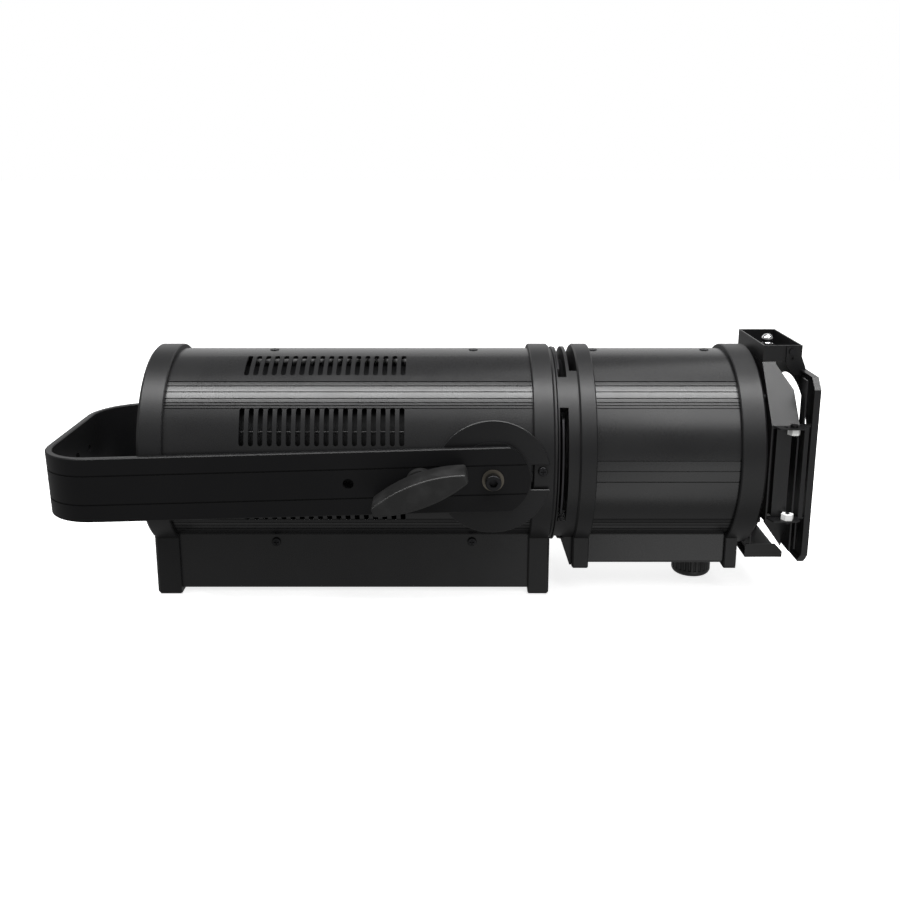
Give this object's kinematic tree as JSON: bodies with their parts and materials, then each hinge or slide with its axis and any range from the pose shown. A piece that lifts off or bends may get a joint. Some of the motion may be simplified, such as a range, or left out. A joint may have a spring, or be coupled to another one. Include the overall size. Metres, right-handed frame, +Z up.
{
  "type": "ellipsoidal spotlight",
  "caption": "Theatre profile spotlight: finned lamp housing in a U-shaped hanging yoke, rotating shutter barrel, focusing lens tube and colour frame holder.",
  "frame": {"origin": "on the surface the housing stands on, under the middle of the overall bounding box", "axes": "+X along the optical axis towards the light exit, +Z up, +Y to the left of someone looking along +X"},
  "size_m": [0.7912, 0.3308, 0.2757],
  "materials": {
    "cast_black": "die cast, satin black powder coat",
    "shell_black": "extruded, satin black powder coat",
    "sheet_black": "steel sheet, satin black powder coat",
    "bar_black": "flat bar, satin black powder coat",
    "inner_metal": "mill finish",
    "bright_steel": "zinc plated",
    "dark_steel": "blackened",
    "chrome": "polished",
    "white_plastic": "moulded",
    "jaw_plastic": "moulded",
    "knob_plastic": "fine texture",
    "button_plastic": "moulded",
    "socket_plastic": "moulded",
    "display": "clear window",
    "circuit": "coated board",
    "led": "phosphor",
    "sink_metal": "extruded",
    "supply_metal": "sheet case",
    "fan_plastic": "moulded",
    "lens_glass": "polished"
  },
  "bodies": {
    "housing": {"rear_frame": "cast_black", "mid_frame": "cast_black", "main_shell": "shell_black", "bottom_tray": "shell_black", "pivot_blocks": "inner_metal", "tilt_disc_right": "shell_black", "tilt_disc_left": "shell_black", "pivot_bolts": "dark_steel", "pivot_washers": "dark_steel", "rear_panel": "shell_black", "panel_screws": "dark_steel", "display_window": "display", "control_board": "circuit", "power_sockets": "socket_plastic", "data_sockets": "socket_plastic", "fuse_holder": "knob_plastic", "safety_eye": "dark_steel", "engine_bulkhead": "inner_metal", "heat_sink": "sink_metal", "led_board": "led", "condenser_tube": "inner_metal", "condenser_lens": "lens_glass", "fan_frame": "fan_plastic", "power_supply": "supply_metal", "housing_screws": "dark_steel", "barrel_bearing": "jaw_plastic"},
    "yoke_arm": {"yoke": "bar_black", "tilt_jaws": "jaw_plastic"},
    "right_knob": {"tilt_knob_right": "knob_plastic"},
    "left_knob": {"tilt_knob_left": "knob_plastic"},
    "barrel": {"gate_ring": "cast_black", "gate_plates": "inner_metal", "slot_ring": "cast_black", "tube_rear_frame": "cast_black", "lens_shell": "shell_black", "lens_shell_cover": "shell_black", "tube_front_frame": "cast_black", "guide_rods": "bright_steel", "rear_lens_ring": "inner_metal", "rear_lens": "lens_glass", "barrel_screws": "dark_steel", "colour_frame_holder": "sheet_black", "holder_front_plate": "sheet_black", "holder_spacers": "dark_steel", "holder_screws": "dark_steel", "holder_nuts": "white_plastic"},
    "top_blade": {"shutter_top": "bright_steel"},
    "right_blade": {"shutter_right": "bright_steel"},
    "left_blade": {"shutter_left": "bright_steel"},
    "bottom_blade": {"shutter_bottom": "bright_steel"},
    "carriage": {"lens_carriage": "inner_metal", "front_lens": "lens_glass"},
    "focus_grip": {"focus_knob": "knob_plastic"},
    "retainer": {"frame_retainer": "sheet_black", "retainer_nut": "chrome"},
    "fan": {"fan_rotor": "fan_plastic"},
    "menu_key": {"menu_button": "button_plastic"},
    "up_key": {"up_button": "button_plastic"},
    "down_key": {"down_button": "button_plastic"},
    "enter_key": {"enter_button": "button_plastic"}
  },
  "joints": [
    {"name": "yoke_tilt", "type": "hinge", "parent": "housing", "child": "yoke_arm", "pos_m": [0.06819, 0, 0.1485], "axis": [0, 1, 0], "range_deg": [-10, 120]},
    {"name": "right_knob_turn", "type": "hinge", "parent": "yoke_arm", "child": "right_knob", "pos_m": [-0.00428, -0.1, 0.14641], "axis": [0, 1, 0], "range_deg": [-180, 180]},
    {"name": "left_knob_turn", "type": "hinge", "parent": "yoke_arm", "child": "left_knob", "pos_m": [-0.00428, 0.1, 0.14641], "axis": [0, 1, 0], "range_deg": [-180, 180]},
    {"name": "barrel_rotation", "type": "hinge", "parent": "housing", "child": "barrel", "pos_m": [0.13439, 0, 0.154], "axis": [1, 0, 0], "range_deg": [-25, 25]},
    {"name": "top_shutter_slide", "type": "slide", "parent": "barrel", "child": "top_blade", "axis": [0, 0, -1], "range_m": [0, 0.05]},
    {"name": "right_shutter_slide", "type": "slide", "parent": "barrel", "child": "right_blade", "axis": [0, 1, 0], "range_m": [0, 0.05]},
    {"name": "left_shutter_slide", "type": "slide", "parent": "barrel", "child": "left_blade", "axis": [0, -1, 0], "range_m": [0, 0.05]},
    {"name": "bottom_shutter_slide", "type": "slide", "parent": "barrel", "child": "bottom_blade", "axis": [0, 0, 1], "range_m": [0, 0.05]},
    {"name": "focus_slide", "type": "slide", "parent": "barrel", "child": "carriage", "axis": [1, 0, 0], "range_m": [-0.0513, 0.0007]},
    {"name": "focus_knob_turn", "type": "hinge", "parent": "carriage", "child": "focus_grip", "pos_m": [0.29889, 0, 0.024], "axis": [0, 0, 1], "range_deg": [-180, 180]},
    {"name": "retainer_hinge", "type": "hinge", "parent": "barrel", "child": "retainer", "pos_m": [0.37939, 0, 0.2658], "axis": [0, 1, 0], "range_deg": [0, 95]},
    {"name": "fan_spin", "type": "hinge", "parent": "housing", "child": "fan", "pos_m": [-0.12241, 0, 0.154], "axis": [1, 0, 0], "continuous": true},
    {"name": "menu_press", "type": "slide", "parent": "housing", "child": "menu_key", "axis": [1, 0, 0], "range_m": [0, 0.0015], "stiffness_N_per_m": 600, "springref_m": -0.0005},
    {"name": "up_press", "type": "slide", "parent": "housing", "child": "up_key", "axis": [1, 0, 0], "range_m": [0, 0.0015], "stiffness_N_per_m": 600, "springref_m": -0.0005},
    {"name": "down_press", "type": "slide", "parent": "housing", "child": "down_key", "axis": [1, 0, 0], "range_m": [0, 0.0015], "stiffness_N_per_m": 600, "springref_m": -0.0005},
    {"name": "enter_press", "type": "slide", "parent": "housing", "child": "enter_key", "axis": [1, 0, 0], "range_m": [0, 0.0015], "stiffness_N_per_m": 600, "springref_m": -0.0005}
  ]
}
